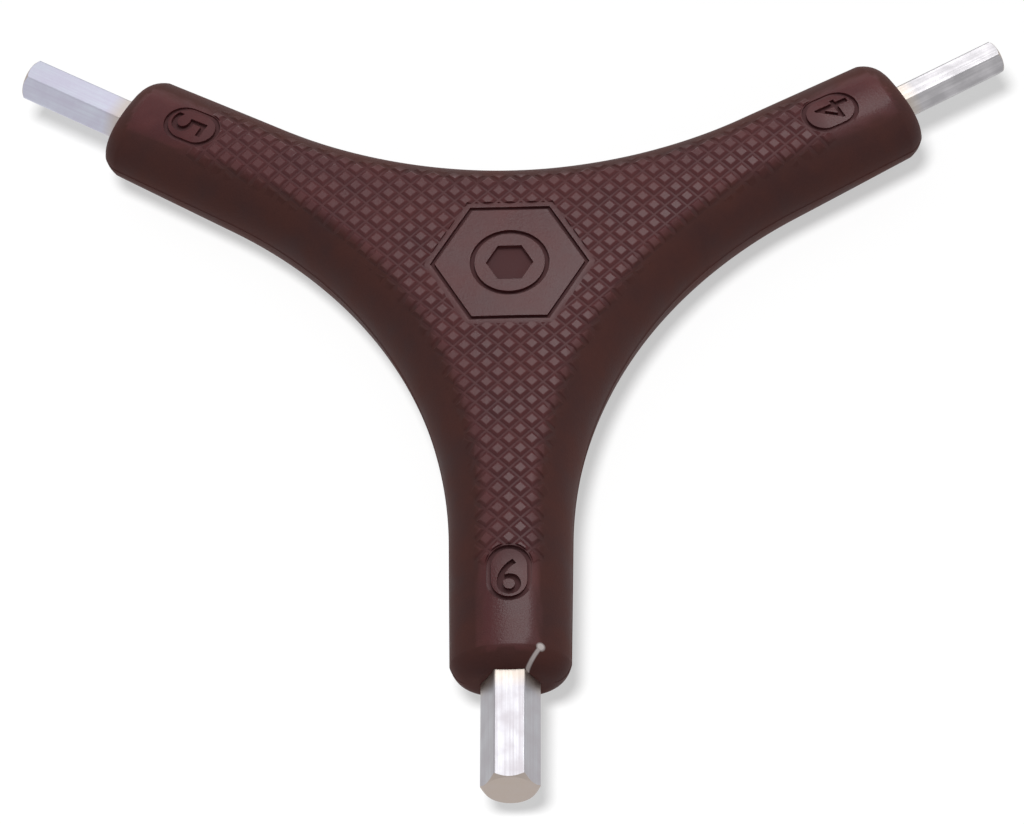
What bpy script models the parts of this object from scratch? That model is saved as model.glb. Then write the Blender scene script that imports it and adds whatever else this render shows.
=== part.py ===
"""Three-way hex key: a moulded Y handle with three hexagon bars set in the ends of its arms.

The tool lies on its back on z = 0 with the hub's centre over the origin. The 6 mm bar points along -Y.
Lengths are in metres.
"""

import math

import bmesh
import bpy
from mathutils import Matrix, Vector

# Gap left between pieces that touch on the real tool, and the overrun of a cut
SEAT_GAP = 0.0003
CUT_OVERRUN = 0.001

# Points this close are merged: where mirrored and turned copies meet, and along the seams of a cut
MERGE_DISTANCE = 0.00001
SEAM_DISTANCE = 0.000001

# Handle: reach of an arm from the hub's centre, and its section at the end
ARM_REACH = 0.0545
ARM_END_HALF_WIDTH = 0.0069
ARM_END_HALF_HEIGHT = 0.0049
ARM_TAPER = math.radians(0.8)
ARM_END_ROUND = 0.0024

# Handle: hub and the webs between the arms
HUB_HALF_HEIGHT = 0.0069
HUB_FLAT_REACH = 0.008
WEB_RADIUS = 0.0555

# Handle: side walls, from the shoulder at the edge of the flat band down to the parting line
SIDE_WIDTH = 0.0046
SHOULDER_TURN = math.radians(20)

# Bars: length in the open, chamfers as shares of the corner radius, and the grooves that lock a bar in the plastic
BAR_STICK_OUT = 0.0139
TIP_CHAMFER_SHARE = 0.16
TAIL_CHAMFER_SHARE = 0.22
GROOVE_WIDTH = 0.0020
GROOVE_DEPTH_SHARE = 0.12
GROOVE_PLACE_SHARES = (0.35, 0.75)

# One arm for each bar: node name, size across flats, length in the plastic, direction of the arm
BARS = (
    ("hex_key_6_mm", 0.006, 0.034, math.radians(-90)),
    ("hex_key_4_mm", 0.004, 0.028, math.radians(30)),
    ("hex_key_5_mm", 0.005, 0.031, math.radians(150)),
)

# Facet counts
WEB_STEPS = 14
STRAIGHT_STEPS = 4
END_STEPS = 5
BAND_STEPS = 3
SIDE_STEPS = 7
HEX_SIDES = 6
BLANK_STEPS = 48

# The line on which two arms meet stands at half the angle between them
ARM_COUNT = len(BARS)
MEETING_ANGLE = math.pi / ARM_COUNT
SMOOTH_ANGLE = math.radians(30)

# Half the side of the grid that is bent to an arm's surface
GRID_HALF_SIDE = 0.5


def clear_scene():
    for item in list(bpy.data.objects):
        bpy.data.objects.remove(item, do_unlink=True)


def new_collection(name):
    collection = bpy.data.collections.new(name)
    bpy.context.scene.collection.children.link(collection)
    return collection


def make_material(name, colour, roughness, metallic):
    material = bpy.data.materials.new(name)
    material.use_nodes = True
    shader = material.node_tree.nodes["Principled BSDF"]
    shader.inputs["Base Color"].default_value = (*colour, 1.0)
    shader.inputs["Roughness"].default_value = roughness
    shader.inputs["Metallic"].default_value = metallic
    return material


def brown_plastic():
    return make_material("handle_plastic", (0.075, 0.036, 0.034), 0.5, 0.0)


def bright_steel(name):
    return make_material(name + "_steel", (0.74, 0.73, 0.76), 0.28, 1.0)


def link_mesh(bm, name, collection):
    mesh = bpy.data.meshes.new(name)
    bmesh.ops.recalc_face_normals(bm, faces=bm.faces)
    bm.to_mesh(mesh)
    bm.free()
    item = bpy.data.objects.new(name, mesh)
    collection.objects.link(item)
    return item


def hide_cutter(item):
    item.hide_render = True
    item.display_type = "WIRE"


def add_boolean(item, cutter, operation):
    modifier = item.modifiers.new(cutter.name, "BOOLEAN")
    modifier.solver = "EXACT"
    modifier.operation = operation
    modifier.object = cutter


def apply_modifiers(item):
    """Turns a cut piece into a plain mesh with its seams merged, so that it can cut another piece cleanly."""
    bpy.context.view_layer.update()
    graph = bpy.context.evaluated_depsgraph_get()
    mesh = bpy.data.meshes.new_from_object(item.evaluated_get(graph))
    bm = bmesh.new()
    bm.from_mesh(mesh)
    bmesh.ops.remove_doubles(bm, verts=bm.verts, dist=SEAM_DISTANCE)
    bm.to_mesh(mesh)
    bm.free()
    item.modifiers.clear()
    item.data = mesh


def smooth_faces(item):
    mesh = item.data
    mesh.shade_smooth()
    mesh.set_sharp_from_angle(angle=SMOOTH_ANGLE)


# Plan of one arm, which points along +X: the web's arc, then a side that tapers to the end


def half_width(along):
    return ARM_END_HALF_WIDTH + (ARM_REACH - along) * math.tan(ARM_TAPER)


def web_centre():
    """Centre of the round web between two arms: it lies on the line where they meet and touches both sides."""
    side = Vector((math.cos(ARM_TAPER), -math.sin(ARM_TAPER)))
    outward = Vector((math.sin(ARM_TAPER), math.cos(ARM_TAPER)))
    start = Vector((ARM_REACH, ARM_END_HALF_WIDTH)) + outward * WEB_RADIUS
    meeting = Vector((math.cos(MEETING_ANGLE), math.sin(MEETING_ANGLE)))
    reach = side.cross(start) / side.cross(meeting)
    return meeting * reach


def half_height(along):
    """Half the thickness: level over the hub, then falling faster and faster towards the end."""
    share = max(0.0, (along - HUB_FLAT_REACH) / (ARM_REACH - HUB_FLAT_REACH))
    return HUB_HALF_HEIGHT - (HUB_HALF_HEIGHT - ARM_END_HALF_HEIGHT) * share**2


def arm_stations():
    """Sections from the hub to the end: place on the centre line, place on the outline, half height, inset."""
    centre = web_centre()
    first = MEETING_ANGLE + math.pi
    last = 1.5 * math.pi - ARM_TAPER
    touch = centre + Vector((math.cos(last), math.sin(last))) * WEB_RADIUS
    stations = []
    for step in range(WEB_STEPS):
        share = step / WEB_STEPS
        angle = first + (last - first) * share
        edge = centre + Vector((math.cos(angle), math.sin(angle))) * WEB_RADIUS
        middle = Vector((touch.x * share, 0.0))
        stations.append((middle, edge, half_height(middle.x), 0.0))
    round_start = ARM_REACH - ARM_END_ROUND
    for step in range(STRAIGHT_STEPS):
        along = touch.x + (round_start - touch.x) * step / STRAIGHT_STEPS
        middle = Vector((along, 0.0))
        stations.append((middle, Vector((along, half_width(along))), half_height(along), 0.0))
    for step in range(END_STEPS + 1):
        turn = 0.5 * math.pi * step / END_STEPS
        along = round_start + ARM_END_ROUND * math.sin(turn)
        inset = ARM_END_ROUND * (1.0 - math.cos(turn))
        middle = Vector((along, 0.0))
        stations.append((middle, Vector((along, half_width(along))), half_height(along), inset))
    return stations


def section_point(station, step):
    """Point of a section: the level band for the first steps, then the rounded side down to the parting line."""
    middle, edge, height, inset = station
    across = edge - middle
    band = across.length - SIDE_WIDTH
    if step <= BAND_STEPS:
        out = band * step / BAND_STEPS
        up = height - inset
    else:
        turn = SHOULDER_TURN + (0.5 * math.pi - SHOULDER_TURN) * (step - BAND_STEPS) / SIDE_STEPS
        start = math.sin(SHOULDER_TURN)
        out = band + (SIDE_WIDTH - inset) * (math.sin(turn) - start) / (1.0 - start)
        up = (height - inset) * math.cos(turn) / math.cos(SHOULDER_TURN)
    place = middle + across.normalized() * out
    return Vector((place.x, place.y, up))


def arm_quarter(bm, stations):
    """A grid bent to one side of the upper half of an arm."""
    columns = len(stations) - 1
    rows = BAND_STEPS + SIDE_STEPS
    bmesh.ops.create_grid(bm, x_segments=columns, y_segments=rows, size=GRID_HALF_SIDE)
    for vert in bm.verts:
        column = round((vert.co.x / GRID_HALF_SIDE + 1.0) / 2 * columns)
        row = round((vert.co.y / GRID_HALF_SIDE + 1.0) / 2 * rows)
        vert.co = section_point(stations[column], row)


def mirror_all(bm, axis):
    geometry = bm.verts[:] + bm.edges[:] + bm.faces[:]
    bmesh.ops.mirror(bm, geom=geometry, axis=axis, merge_dist=MERGE_DISTANCE)


def close_ends(bm):
    """Caps the open end of each arm with a fan of triangles, which a cut crosses cleanly."""
    open_edges = [edge for edge in bm.edges if edge.is_boundary]
    caps = bmesh.ops.holes_fill(bm, edges=open_edges, sides=0)["faces"]
    bmesh.ops.poke(bm, faces=caps)


def make_handle(collection):
    """One moulded body: a quarter of an arm, mirrored twice, repeated round the hub and closed at the ends."""
    bm = bmesh.new()
    arm_quarter(bm, arm_stations())
    mirror_all(bm, "Y")
    mirror_all(bm, "Z")
    bmesh.ops.spin(
        bm,
        geom=bm.verts[:] + bm.edges[:] + bm.faces[:],
        axis=(0.0, 0.0, 1.0),
        cent=(0.0, 0.0, 0.0),
        angle=2.0 * MEETING_ANGLE * (ARM_COUNT - 1),
        steps=ARM_COUNT - 1,
        use_duplicate=True,
    )
    bmesh.ops.remove_doubles(bm, verts=bm.verts, dist=MERGE_DISTANCE)
    close_ends(bm)
    bmesh.ops.rotate(bm, verts=bm.verts, matrix=Matrix.Rotation(BARS[0][3], 3, "Z"))
    bmesh.ops.translate(bm, verts=bm.verts, vec=(0.0, 0.0, HUB_HALF_HEIGHT))
    return link_mesh(bm, "handle", collection)


# Bars are made along +Z with the tail at zero, then laid along their arm


def corner_radius(across_flats):
    return across_flats / 2 / math.cos(math.pi / HEX_SIDES)


def hexagon_prism(name, across_flats, length, collection):
    """Hexagon rod that runs past both ends of the blank that it is cut to."""
    bm = bmesh.new()
    radius = corner_radius(across_flats)
    depth = length + 2 * CUT_OVERRUN
    bmesh.ops.create_cone(
        bm, cap_ends=True, segments=HEX_SIDES, radius1=radius, radius2=radius, depth=depth
    )
    bmesh.ops.translate(bm, verts=bm.verts, vec=(0.0, 0.0, length / 2))
    return link_mesh(bm, name, collection)


def groove_profile(foot, across_flats, grow):
    """In, along and out of a groove, which is narrower and shallower on a grown bar."""
    outside = corner_radius(across_flats) + CUT_OVERRUN
    bottom = across_flats / 2 * (1.0 - GROOVE_DEPTH_SHARE) + grow
    low = foot + grow
    high = foot + GROOVE_WIDTH - grow
    return [(outside, low), (bottom, low), (bottom, high), (outside, high)]


def turned_blank(name, across_flats, embed, grow, collection):
    """Round blank that the hexagon is cut to: 45 degree chamfers at tail and tip, and the locking grooves."""
    corner = corner_radius(across_flats)
    outside = corner + CUT_OVERRUN
    foot = -grow
    top = embed + BAR_STICK_OUT + grow
    tail = corner * (1.0 - TAIL_CHAMFER_SHARE) + grow
    tip = corner * (1.0 - TIP_CHAMFER_SHARE) + grow
    points = [(0.0, foot), (tail, foot), (outside, foot + outside - tail)]
    for share in GROOVE_PLACE_SHARES:
        points += groove_profile(embed * share, across_flats, grow)
    points += [(outside, top - (outside - tip)), (tip, top), (0.0, top)]
    bm = bmesh.new()
    verts = [bm.verts.new((radius, 0.0, height)) for radius, height in points]
    for start, end in zip(verts, verts[1:]):
        bm.edges.new((start, end))
    bmesh.ops.spin(
        bm,
        geom=bm.verts[:] + bm.edges[:],
        axis=(0.0, 0.0, 1.0),
        cent=(0.0, 0.0, 0.0),
        angle=2.0 * math.pi,
        steps=BLANK_STEPS,
    )
    bmesh.ops.remove_doubles(bm, verts=bm.verts, dist=MERGE_DISTANCE)
    return link_mesh(bm, name, collection)


def lay_along_arm(item, embed, direction):
    """Turns a flat of the hexagon up and puts the tail in its place inside the arm."""
    tail = ARM_REACH - embed
    item.matrix_world = (
        Matrix.Translation((0.0, 0.0, HUB_HALF_HEIGHT))
        @ Matrix.Rotation(direction, 4, "Z")
        @ Matrix.Translation((tail, 0.0, 0.0))
        @ Matrix.Rotation(math.pi / 2, 4, "Y")
    )


def hexagon_bar(name, across_flats, embed, direction, grow, collection):
    """A hexagon prism cut to its turned blank. With grow, the same shape is larger all round, as a socket is."""
    length = embed + BAR_STICK_OUT
    bar = hexagon_prism(name, across_flats + 2 * grow, length, collection)
    blank = turned_blank(name + "_blank", across_flats, embed, grow, collection)
    add_boolean(bar, blank, "INTERSECT")
    apply_modifiers(bar)
    bpy.data.objects.remove(blank, do_unlink=True)
    smooth_faces(bar)
    lay_along_arm(bar, embed, direction)
    return bar


def main():
    clear_scene()
    parts = new_collection("three_way_hex_key")
    cutters = new_collection("cutters")
    handle = make_handle(parts)
    handle.data.materials.append(brown_plastic())
    for name, across_flats, embed, direction in BARS:
        bar = hexagon_bar(name, across_flats, embed, direction, 0.0, parts)
        bar.data.materials.append(bright_steel(name))
        socket_name = name + "_socket"
        socket = hexagon_bar(socket_name, across_flats, embed, direction, SEAT_GAP, cutters)
        hide_cutter(socket)
        add_boolean(handle, socket, "DIFFERENCE")
    smooth_faces(handle)


main()
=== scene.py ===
# %% [markdown]
# # A three-way hex key
#
# The tool is a moulded brown Y with a hexagon bar in the end of each arm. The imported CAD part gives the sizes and
# the frame. This lesson dresses it: a handle with cut checkering and size marks, bars with softened edges and
# turned tips, procedural plastic and steel, and a plain studio.

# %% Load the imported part
import math

import bmesh
import bpy
from mathutils import Matrix, Vector
from mathutils.bvhtree import BVHTree


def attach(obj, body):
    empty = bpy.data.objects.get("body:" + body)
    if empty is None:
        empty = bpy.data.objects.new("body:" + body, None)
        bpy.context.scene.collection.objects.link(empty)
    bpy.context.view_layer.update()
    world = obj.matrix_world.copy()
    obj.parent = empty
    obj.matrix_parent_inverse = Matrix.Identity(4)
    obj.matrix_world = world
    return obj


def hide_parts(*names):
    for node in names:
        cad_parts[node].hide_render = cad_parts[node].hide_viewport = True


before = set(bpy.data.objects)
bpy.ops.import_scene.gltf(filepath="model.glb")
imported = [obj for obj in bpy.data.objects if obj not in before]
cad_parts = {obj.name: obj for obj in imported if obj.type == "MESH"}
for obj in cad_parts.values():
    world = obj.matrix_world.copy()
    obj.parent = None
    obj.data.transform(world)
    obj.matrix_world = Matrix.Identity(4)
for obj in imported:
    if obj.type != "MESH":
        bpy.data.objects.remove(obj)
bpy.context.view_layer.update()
print("CAD nodes:", sorted(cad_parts))

# %% [markdown]
# ## Sizes
#
# All lengths are metres. The tool lies on the floor plane z = 0, the hub's centre is over the origin, and the middle
# plane of the tool is at HUB_HALF_HEIGHT. An arm is described in its own terms: how far along from the hub's centre,
# how far out from its middle line, and how far up from the middle plane.

# %% Sizes shared with the CAD
ARM_REACH = 0.0545
ARM_END_HALF_WIDTH = 0.0069
ARM_END_HALF_HEIGHT = 0.0049
ARM_TAPER = math.radians(0.8)
ARM_END_ROUND = 0.0024
HUB_HALF_HEIGHT = 0.0069
HUB_FLAT_REACH = 0.008
WEB_RADIUS = 0.0555
SIDE_WIDTH = 0.0046
SHOULDER_TURN = math.radians(20)
BAR_STICK_OUT = 0.0139

# Number on the arm, size across flats, length in the plastic, direction of the arm
ARMS = (
    ("6", 0.006, 0.034, math.radians(-90)),
    ("4", 0.004, 0.028, math.radians(30)),
    ("5", 0.005, 0.031, math.radians(150)),
)
MEETING_ANGLE = math.pi / len(ARMS)
UP = Vector((0.0, 0.0, 1.0))
HUB = Vector((0.0, 0.0, HUB_HALF_HEIGHT))
print("bars, across flats:", {digit: across for digit, across, _, _ in ARMS})

# %% [markdown]
# ## The camera
#
# The photograph looks down on the tool from in front, a little more than half way up, with a long lens. The camera
# stands first, so that every later step can be looked at from the same place.

# %% Camera
LOOK_TILT = math.radians(35.651)
LOOK_TURN = math.radians(3.533)
LOOK_ROLL = math.radians(4.148)
LOOK_DISTANCE = 0.6472
LENS = 190.44
AIM_LOWER = math.radians(1.2406)


def stand_camera():
    """A camera that looks at the hub from the photograph's side, then dips until the hub sits above the middle."""
    back = Vector((
        math.sin(LOOK_TILT) * math.sin(LOOK_TURN),
        -math.sin(LOOK_TILT) * math.cos(LOOK_TURN),
        math.cos(LOOK_TILT),
    ))
    right = Vector((math.cos(LOOK_TURN), math.sin(LOOK_TURN), 0.0))
    axes = Matrix((right, back.cross(right), back)).transposed()
    turn = axes @ Matrix.Rotation(-LOOK_ROLL, 3, "Z") @ Matrix.Rotation(-AIM_LOWER, 3, "X")
    data = bpy.data.cameras.new("photo_camera")
    data.lens = LENS
    camera = bpy.data.objects.new("photo_camera", data)
    camera.matrix_world = Matrix.Translation(HUB + back * LOOK_DISTANCE) @ turn.to_4x4()
    bpy.context.scene.collection.objects.link(camera)
    bpy.context.scene.camera = camera
    return camera


camera = stand_camera()
print("camera at", camera.matrix_world.translation)

# %% [markdown]
# ## Small helpers for meshes
#
# Each piece is made in a bmesh, which is a mesh that can be edited with operators from a script. `finish_piece` writes
# it into an object at the origin, and `cut` applies a Boolean and throws the cutter away. `smooth_up_to` shades a
# piece smooth, but keeps the edges that turn by more than an angle sharp.

# %% Mesh helpers
MERGE = 0.00001


def everything(bm):
    return bm.verts[:] + bm.edges[:] + bm.faces[:]


def finish_piece(bm, name):
    """Writes a bmesh to a new object with its faces turned outwards."""
    mesh = bpy.data.meshes.new(name)
    bmesh.ops.recalc_face_normals(bm, faces=bm.faces)
    bm.to_mesh(mesh)
    bm.free()
    piece = bpy.data.objects.new(name, mesh)
    bpy.context.scene.collection.objects.link(piece)
    return piece


def cut(piece, cutter, operation="DIFFERENCE"):
    """Applies an exact Boolean to the piece and removes the cutter."""
    modifier = piece.modifiers.new("cut", "BOOLEAN")
    modifier.solver = "EXACT"
    modifier.operation = operation
    modifier.object = cutter
    bpy.context.view_layer.update()
    graph = bpy.context.evaluated_depsgraph_get()
    mesh = bpy.data.meshes.new_from_object(piece.evaluated_get(graph))
    piece.modifiers.clear()
    piece.data = mesh
    bpy.data.objects.remove(cutter, do_unlink=True)


def smooth_up_to(piece, degrees):
    piece.data.shade_smooth()
    piece.data.set_sharp_from_angle(angle=math.radians(degrees))


def triangles(piece):
    return sum(len(face.vertices) - 2 for face in piece.data.polygons)


print("points closer than", MERGE, "m are merged")

# %% [markdown]
# ## The outline of an arm
#
# On the real tool one mould makes the whole Y: level over the hub and thinner towards the ends, with nearly straight
# sides that run into round webs between the arms. It could be sculpted, but a formula keeps it true to the CAD. The
# first step lists sections from the hub to the end of an arm. They lie close together where the end rounds off, and
# that rounding starts at an angle, so that the band on top ends at a crisp break.

# %% Sections of an arm
WEB_STEPS = 44
STRAIGHT_STEPS = 14
END_STEPS = 10
END_TURN = math.radians(18)
CRISP_EDGE = 0.00015


def half_width(along):
    return ARM_END_HALF_WIDTH + (ARM_REACH - along) * math.tan(ARM_TAPER)


def half_height(along):
    share = max(0.0, (along - HUB_FLAT_REACH) / (ARM_REACH - HUB_FLAT_REACH))
    return HUB_HALF_HEIGHT - (HUB_HALF_HEIGHT - ARM_END_HALF_HEIGHT) * share**2


def web_centre():
    """The round web between two arms touches both of their sides."""
    side = Vector((math.cos(ARM_TAPER), -math.sin(ARM_TAPER)))
    outward = Vector((math.sin(ARM_TAPER), math.cos(ARM_TAPER)))
    start = Vector((ARM_REACH, ARM_END_HALF_WIDTH)) + outward * WEB_RADIUS
    meeting = Vector((math.cos(MEETING_ANGLE), math.sin(MEETING_ANGLE)))
    return meeting * (side.cross(start) / side.cross(meeting))


def arm_stations():
    """Each section: place on the middle line, place on the outline, half height, and how far the end draws it in."""
    centre = web_centre()
    # Angles on the web's circle: the point nearest to the hub, and the point where the arm's side begins
    first = MEETING_ANGLE + math.pi
    last = 1.5 * math.pi - ARM_TAPER
    touch = centre + Vector((math.cos(last), math.sin(last))) * WEB_RADIUS
    stations = []
    for step in range(WEB_STEPS):
        share = step / WEB_STEPS
        angle = first + (last - first) * share
        edge = centre + Vector((math.cos(angle), math.sin(angle))) * WEB_RADIUS
        stations.append((Vector((touch.x * share, 0.0)), edge, half_height(touch.x * share), 0.0))
    round_start = ARM_REACH - ARM_END_ROUND
    straight = [touch.x + (round_start - touch.x) * step / STRAIGHT_STEPS for step in range(STRAIGHT_STEPS)]
    for along in straight + [round_start - CRISP_EDGE]:
        edge = Vector((along, half_width(along)))
        stations.append((Vector((along, 0.0)), edge, half_height(along), 0.0))
    start = math.sin(END_TURN)
    for step in range(END_STEPS + 1):
        turn = END_TURN + (0.5 * math.pi - END_TURN) * step / END_STEPS
        along = round_start + ARM_END_ROUND * (math.sin(turn) - start) / (1.0 - start)
        inset = ARM_END_ROUND * (1.0 - math.cos(turn) / math.cos(END_TURN))
        edge = Vector((along, half_width(along)))
        stations.append((Vector((along, 0.0)), edge, half_height(along), inset))
    return stations


print("sections of an arm:", len(arm_stations()))

# %% [markdown]
# ## The handle's skin
#
# Across an arm, a band that is crowned by a fifth of a millimetre breaks at a soft shoulder into round sides, and a
# thin raised line runs round the middle, where the two halves of the mould meet. A flat grid is bent along the
# sections to one side of the upper half of an arm, mirrored across and down, and spun round the hub. The band's middle
# lies a checkering's height below the CAD solid, so that the tops of the pyramids end exactly on it.

# %% Handle skin
CHECKER_HEIGHT = 0.0003
CHECKER_SINK = 0.00005
SKIN_DROP = CHECKER_HEIGHT - CHECKER_SINK
BAND_STEPS = 9
BAND_CROWN = 0.0002
SIDE_STEPS = 20
SEAM_TURN = math.radians(89)
SEAM_HEIGHT = 0.00007
SHOULDER_SMOOTHING = 0.5


def section_point(station, step):
    """Point of a section: the crowned band, then the round side down to the raised seam."""
    middle, edge, height, inset = station
    across = edge - middle
    band = across.length - SIDE_WIDTH
    top = height - SKIN_DROP - inset
    if step <= BAND_STEPS:
        out = band * step / BAND_STEPS
        up = top - BAND_CROWN * (step / BAND_STEPS) ** 2
    elif step < BAND_STEPS + SIDE_STEPS:
        turn = SHOULDER_TURN + (SEAM_TURN - SHOULDER_TURN) * (step - BAND_STEPS) / (SIDE_STEPS - 1)
        start = math.sin(SHOULDER_TURN)
        out = band + (SIDE_WIDTH - inset) * (math.sin(turn) - start) / (1.0 - start)
        up = (top - BAND_CROWN) * math.cos(turn) / math.cos(SHOULDER_TURN)
    else:
        out = band + SIDE_WIDTH - inset + SEAM_HEIGHT
        up = 0.0
    place = middle + across.normalized() * out
    return Vector((place.x, place.y, up))


def bend_quarter(bm):
    """Bends a grid to a quarter of an arm and softens the shoulder."""
    stations = arm_stations()
    columns = len(stations) - 1
    rows = BAND_STEPS + SIDE_STEPS
    bmesh.ops.create_grid(bm, x_segments=columns, y_segments=rows, size=1.0)
    shoulder = []
    for vert in bm.verts:
        column = round((vert.co.x + 1.0) / 2 * columns)
        row = round((vert.co.y + 1.0) / 2 * rows)
        vert.co = section_point(stations[column], row)
        if abs(row - BAND_STEPS) <= 1:
            shoulder.append(vert)
    bmesh.ops.smooth_vert(bm, verts=shoulder, factor=SHOULDER_SMOOTHING, use_axis_z=True)


def make_skin():
    bm = bmesh.new()
    bend_quarter(bm)
    for axis in ("Y", "Z"):
        bmesh.ops.mirror(bm, geom=everything(bm), axis=axis, merge_dist=MERGE)
    bmesh.ops.spin(
        bm, geom=everything(bm), axis=UP, cent=(0, 0, 0),
        angle=2 * MEETING_ANGLE * (len(ARMS) - 1), steps=len(ARMS) - 1, use_duplicate=True,
    )
    bmesh.ops.remove_doubles(bm, verts=bm.verts, dist=MERGE)
    ends = [edge for edge in bm.edges if edge.is_boundary]
    caps = bmesh.ops.holes_fill(bm, edges=ends, sides=0)["faces"]
    bmesh.ops.poke(bm, faces=caps)
    bmesh.ops.rotate(bm, verts=bm.verts, matrix=Matrix.Rotation(ARMS[0][3], 3, "Z"))
    bmesh.ops.translate(bm, verts=bm.verts, vec=HUB)
    bmesh.ops.recalc_face_normals(bm, faces=bm.faces)
    return bm


skin_mesh = make_skin()
skin = BVHTree.FromBMesh(skin_mesh)
print("skin faces:", len(skin_mesh.faces), "open edges:", sum(edge.is_boundary for edge in skin_mesh.edges))

# %% [markdown]
# ## Reading the skin
#
# Marks and checkering follow the skin. A ray sent straight down on it gives its height and the way that it faces, so
# a flat pattern can be laid over it without working out the surface again.

# %% Height and facing of the skin
DOWN = -UP
RAY_START = HUB_HALF_HEIGHT * 4


def ray_down(x, y):
    """What a ray from above meets: place, normal, face and distance, or only None beside the handle."""
    return skin.ray_cast(Vector((x, y, RAY_START)), DOWN)


def skin_at(x, y):
    """Height of the skin over a place on the floor, and how far it faces up: 1 is level, 0 is upright."""
    place, normal, _, _ = ray_down(x, y)
    return place.z, normal.z


def ease(value, low, high):
    """0 below low, 1 above high, and a smooth rise between them."""
    share = min(1.0, max(0.0, (value - low) / (high - low)))
    return share * share * (3.0 - 2.0 * share)


print("skin over the hub:", skin_at(0.0, 0.0))

# %% [markdown]
# ## Grooves pressed into the plastic
#
# Each arm carries the size of its bar in an oval ring, and the hub has a smooth six-sided field with a round groove
# and a six-sided pocket, the common sign for a hexagon socket. They are grooves, so each one is a closed shell that
# is cut from the skin. A ring groove is one loop, extruded round into a hoop: wide at the top and narrower at the
# bottom, as moulded grooves are, so that the part comes out of the mould.

# %% Shapes of grooves and pockets
GROOVE_DEPTH = 0.00042
GROOVE_LINE = 0.0007
GROOVE_DRAFT = 0.0001
CUT_OVER = 0.0008
FINE_MERGE = MERGE / 10
HEXAGON_TURN = math.pi / 6


def hexagon_reach(across):
    """From the middle of a hexagon to a corner."""
    return across / 2 / math.cos(HEXAGON_TURN)


def pull_to_oval(bm, verts, stretch):
    """Moves the two halves of a circle apart, which leaves straight sides between them."""
    for side in (1.0, -1.0):
        half = [vert for vert in verts if vert.co.y * side > 0.0]
        bmesh.ops.translate(bm, verts=half, vec=(0.0, side * stretch, 0.0))


def hoop(bm, sides, half_x, half_y, turn=0.0):
    """A closed hoop for a groove, by the half sizes of its outer edge. A longer half makes it an oval."""
    levels = (
        (0.0, CUT_OVER),
        (GROOVE_DRAFT, -GROOVE_DEPTH),
        (GROOVE_LINE - GROOVE_DRAFT, -GROOVE_DEPTH),
        (GROOVE_LINE, CUT_OVER),
    )
    verts = bmesh.ops.create_circle(bm, cap_ends=False, segments=sides, radius=half_x)["verts"]
    bmesh.ops.rotate(bm, verts=verts, matrix=Matrix.Rotation(turn, 3, "Z"))
    pull_to_oval(bm, verts, half_y - half_x)
    bmesh.ops.translate(bm, verts=verts, vec=(0.0, 0.0, CUT_OVER))
    loop = list({edge for vert in verts for edge in vert.link_edges})
    for (inset, height), (next_inset, next_height) in zip(levels, levels[1:] + levels[:1]):
        grown = bmesh.ops.extrude_edge_only(bm, edges=loop)["geom"]
        verts = [item for item in grown if isinstance(item, bmesh.types.BMVert)]
        loop = [item for item in grown if isinstance(item, bmesh.types.BMEdge)]
        shrink = ((half_x - next_inset) / (half_x - inset), (half_y - next_inset) / (half_y - inset), 1.0)
        bmesh.ops.scale(bm, verts=verts, vec=shrink)
        bmesh.ops.translate(bm, verts=verts, vec=(0.0, 0.0, next_height - height))
    bmesh.ops.remove_doubles(bm, verts=bm.verts, dist=FINE_MERGE)


def hexagon_plug(bm, across, depth):
    """A closed six-sided plug, a little narrower at the bottom."""
    reach = hexagon_reach(across)
    verts = bmesh.ops.create_cone(
        bm, cap_ends=True, segments=6, radius1=reach - GROOVE_DRAFT, radius2=reach, depth=depth + CUT_OVER
    )["verts"]
    bmesh.ops.rotate(bm, verts=verts, matrix=Matrix.Rotation(HEXAGON_TURN, 3, "Z"))
    bmesh.ops.translate(bm, verts=verts, vec=(0.0, 0.0, (CUT_OVER - depth) / 2))


print("a groove is", GROOVE_LINE, "m wide and", GROOVE_DEPTH, "m deep")

# %% [markdown]
# ## Digits
#
# The numbers could be drawn by hand, but text does it better. In Blender text is a curve, so it is made a mesh first.
# Then it is extruded down through the skin, and its walls are pushed out a little, which makes it bolder. The digits
# reach a hair deeper than their rings.

# %% Shape of a digit
DIGIT_SIZE = 0.0064
DIGIT_CURVE_STEPS = 6
DIGIT_BOLDER = {"6": 0.00007, "4": 0.0, "5": 0.00007}
DIGIT_DEPTH = 0.00046
NEARLY_STRAIGHT = math.radians(1)


def flat_digit(bm, digit):
    """Writes the digit as flat faces, without needless points on its straight edges."""
    curve = bpy.data.curves.new("digit", "FONT")
    curve.body = digit
    curve.size = DIGIT_SIZE
    curve.resolution_u = DIGIT_CURVE_STEPS
    writing = bpy.data.objects.new("digit", curve)
    bpy.context.scene.collection.objects.link(writing)
    bpy.context.view_layer.update()
    mesh = writing.to_mesh()
    bm.from_mesh(mesh)
    writing.to_mesh_clear()
    bpy.data.objects.remove(writing, do_unlink=True)
    bmesh.ops.remove_doubles(bm, verts=bm.verts, dist=MERGE)
    bmesh.ops.dissolve_limit(bm, angle_limit=NEARLY_STRAIGHT, verts=bm.verts, edges=bm.edges)


def centre_digit(bm):
    """Brings the digit's middle over the origin, just above the skin, and gives back how tall it is."""
    left, right = min(vert.co.x for vert in bm.verts), max(vert.co.x for vert in bm.verts)
    low, high = min(vert.co.y for vert in bm.verts), max(vert.co.y for vert in bm.verts)
    bmesh.ops.translate(bm, verts=bm.verts, vec=(-(left + right) / 2, -(low + high) / 2, CUT_OVER))
    return high - low


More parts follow.
